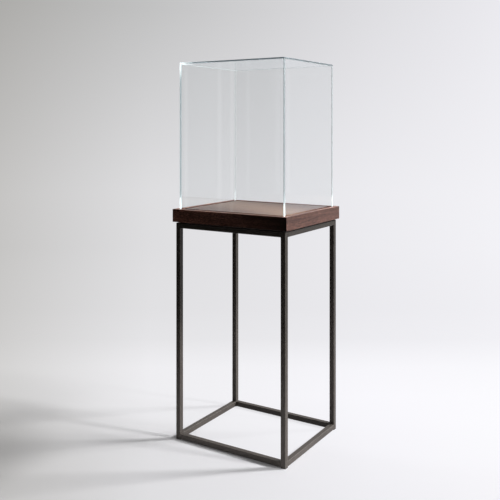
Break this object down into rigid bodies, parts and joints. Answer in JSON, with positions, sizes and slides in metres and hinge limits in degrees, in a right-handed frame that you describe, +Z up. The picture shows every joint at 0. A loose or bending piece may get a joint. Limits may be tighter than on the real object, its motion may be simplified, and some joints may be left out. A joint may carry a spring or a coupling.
{
  "type": "pedestal display case",
  "caption": "Free-standing display pedestal: a slim square-tube steel stand carries a dark timber deck, and a lift-off glass hood stands in a channel in the deck.",
  "frame": {"origin": "on the floor, under the middle of the stand's footprint", "axes": "+Z up, front faces -Y, +X to the right seen from the front; the wider sides of the deck face -Y and +Y"},
  "size_m": [0.51, 0.44, 1.473],
  "materials": {
    "stand_paint": "satin dark bronze-grey paint",
    "foot_plastic": "matte black moulded",
    "screw_steel": "bright zinc plated",
    "strip_rubber": "matte black",
    "deck_timber": "dark walnut stain, satin lacquer, fine straight grain",
    "core_board": "stained blockboard, sealed",
    "hood_glass": "clear, polished edges with a faint aqua tint"
  },
  "bodies": {
    "stand": {"leg_front_left": "stand_paint", "leg_front_right": "stand_paint", "leg_back_right": "stand_paint", "leg_back_left": "stand_paint", "bottom_rail_front": "stand_paint", "bottom_rail_back": "stand_paint", "bottom_rail_left": "stand_paint", "bottom_rail_right": "stand_paint", "top_rail_front": "stand_paint", "top_rail_back": "stand_paint", "top_rail_left": "stand_paint", "top_rail_right": "stand_paint", "corner_plate_front_left": "stand_paint", "corner_plate_front_right": "stand_paint", "corner_plate_back_right": "stand_paint", "corner_plate_back_left": "stand_paint", "foot_plug_front_left": "foot_plastic", "foot_plug_front_right": "foot_plastic", "foot_plug_back_right": "foot_plastic", "foot_plug_back_left": "foot_plastic", "deck_screw_front_left": "screw_steel", "deck_screw_front_right": "screw_steel", "deck_screw_back_right": "screw_steel", "deck_screw_back_left": "screw_steel", "spacer_strip_front": "strip_rubber", "spacer_strip_back": "strip_rubber", "spacer_strip_left": "strip_rubber", "spacer_strip_right": "strip_rubber", "hood_bed_front": "strip_rubber", "hood_bed_back": "strip_rubber", "hood_bed_left": "strip_rubber", "hood_bed_right": "strip_rubber", "lipping_front": "deck_timber", "lipping_right": "deck_timber", "lipping_back": "deck_timber", "lipping_left": "deck_timber", "display_panel": "deck_timber", "deck_core": "core_board"},
    "hood": {"glass_front": "hood_glass", "glass_back": "hood_glass", "glass_left": "hood_glass", "glass_right": "hood_glass", "glass_top": "hood_glass"}
  },
  "joints": [
    {"name": "hood_lift", "type": "slide", "parent": "stand", "child": "hood", "axis": [0, 0, 1], "range_m": [0, 0.6]}
  ]
}
